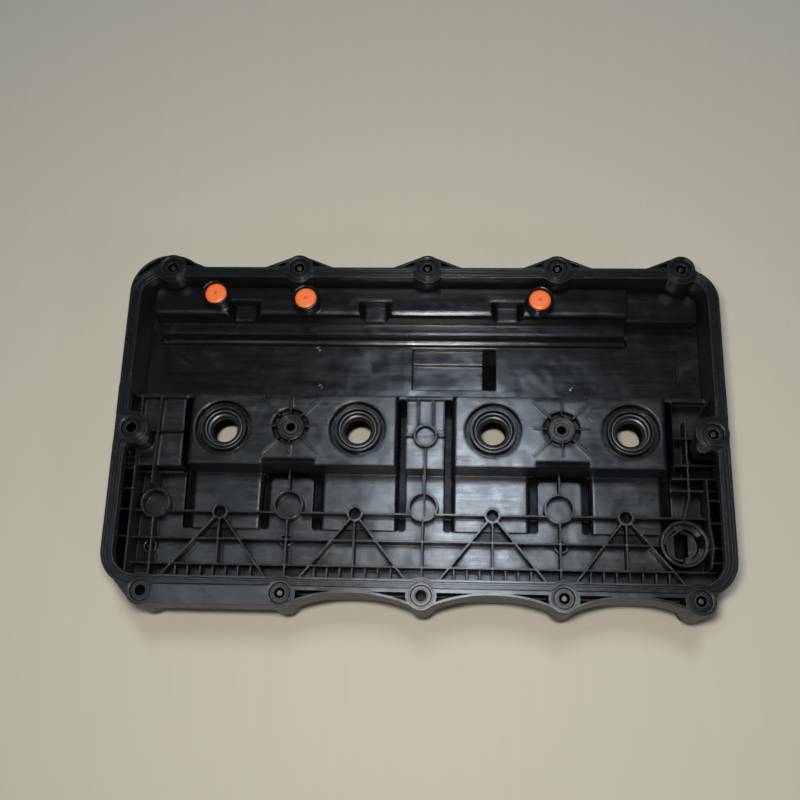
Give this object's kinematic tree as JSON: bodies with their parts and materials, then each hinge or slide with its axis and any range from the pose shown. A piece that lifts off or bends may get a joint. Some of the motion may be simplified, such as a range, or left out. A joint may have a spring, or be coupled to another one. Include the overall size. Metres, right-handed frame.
{
  "type": "engine valve cover",
  "caption": "Moulded valve cover lying on its outer side: ribbed inside, oil separator baffle, flange gasket, injector seals, captive bolts and oil filler cap.",
  "frame": {"origin": "on the plane the outer side rests on, under the middle of the bounding box", "axes": "+X along the row of cylinders, +Y towards the oil separator, +Z out of the sealing face"},
  "size_m": [0.4306, 0.2588, 0.0707],
  "materials": {
    "cover_plastic": "satin",
    "baffle_plastic": "satin",
    "seal_rubber": "satin",
    "sleeve_steel": "satin",
    "bolt_steel": "satin",
    "orange_silicone": "satin",
    "cap_plastic": "satin"
  },
  "bodies": {
    "cover": {"cover": "cover_plastic", "separator_baffle": "baffle_plastic", "flange_gasket": "seal_rubber", "injector_seal_1": "seal_rubber", "injector_seal_2": "seal_rubber", "injector_seal_3": "seal_rubber", "injector_seal_4": "seal_rubber", "centre_isolator_1": "seal_rubber", "centre_isolator_2": "seal_rubber", "centre_sleeve_1": "sleeve_steel", "centre_sleeve_2": "sleeve_steel", "bolt_isolator_1": "seal_rubber", "bolt_isolator_2": "seal_rubber", "bolt_isolator_3": "seal_rubber", "bolt_isolator_4": "seal_rubber", "bolt_isolator_5": "seal_rubber", "bolt_isolator_6": "seal_rubber", "bolt_isolator_7": "seal_rubber", "bolt_isolator_8": "seal_rubber", "bolt_isolator_9": "seal_rubber", "bolt_isolator_10": "seal_rubber", "bolt_isolator_11": "seal_rubber", "bolt_isolator_12": "seal_rubber", "bolt_sleeve_1": "sleeve_steel", "bolt_sleeve_2": "sleeve_steel", "bolt_sleeve_3": "sleeve_steel", "bolt_sleeve_4": "sleeve_steel", "bolt_sleeve_5": "sleeve_steel", "bolt_sleeve_6": "sleeve_steel", "bolt_sleeve_7": "sleeve_steel", "bolt_sleeve_8": "sleeve_steel", "bolt_sleeve_9": "sleeve_steel", "bolt_sleeve_10": "sleeve_steel", "bolt_sleeve_11": "sleeve_steel", "bolt_sleeve_12": "sleeve_steel", "drain_valve_1": "orange_silicone", "drain_valve_2": "orange_silicone", "drain_valve_3": "orange_silicone"},
    "bolt_1": {"flange_bolt_1": "bolt_steel"},
    "bolt_2": {"flange_bolt_2": "bolt_steel"},
    "bolt_3": {"flange_bolt_3": "bolt_steel"},
    "bolt_4": {"flange_bolt_4": "bolt_steel"},
    "bolt_5": {"flange_bolt_5": "bolt_steel"},
    "bolt_6": {"flange_bolt_6": "bolt_steel"},
    "bolt_7": {"flange_bolt_7": "bolt_steel"},
    "bolt_8": {"flange_bolt_8": "bolt_steel"},
    "bolt_9": {"flange_bolt_9": "bolt_steel"},
    "filler_cap": {"filler_cap": "cap_plastic", "filler_cap_seal": "seal_rubber"}
  },
  "joints": [
    {"name": "bolt_1_slide", "type": "slide", "parent": "cover", "child": "bolt_1", "axis": [0, 0, 1], "range_m": [0, 0.0142]},
    {"name": "bolt_2_slide", "type": "slide", "parent": "cover", "child": "bolt_2", "axis": [0, 0, 1], "range_m": [0, 0.0142]},
    {"name": "bolt_3_slide", "type": "slide", "parent": "cover", "child": "bolt_3", "axis": [0, 0, 1], "range_m": [0, 0.0142]},
    {"name": "bolt_4_slide", "type": "slide", "parent": "cover", "child": "bolt_4", "axis": [0, 0, 1], "range_m": [0, 0.0142]},
    {"name": "bolt_5_slide", "type": "slide", "parent": "cover", "child": "bolt_5", "axis": [0, 0, 1], "range_m": [0, 0.0142]},
    {"name": "bolt_6_slide", "type": "slide", "parent": "cover", "child": "bolt_6", "axis": [0, 0, 1], "range_m": [0, 0.0142]},
    {"name": "bolt_7_slide", "type": "slide", "parent": "cover", "child": "bolt_7", "axis": [0, 0, 1], "range_m": [0, 0.0142]},
    {"name": "bolt_8_slide", "type": "slide", "parent": "cover", "child": "bolt_8", "axis": [0, 0, 1], "range_m": [0, 0.0142]},
    {"name": "bolt_9_slide", "type": "slide", "parent": "cover", "child": "bolt_9", "axis": [0, 0, 1], "range_m": [0, 0.0142]},
    {"name": "filler_cap_turn", "type": "hinge", "parent": "cover", "child": "filler_cap", "pos_m": [0.1887, -0.0747, 0.008], "axis": [0, 0, 1], "range_deg": [0, 90]}
  ]
}
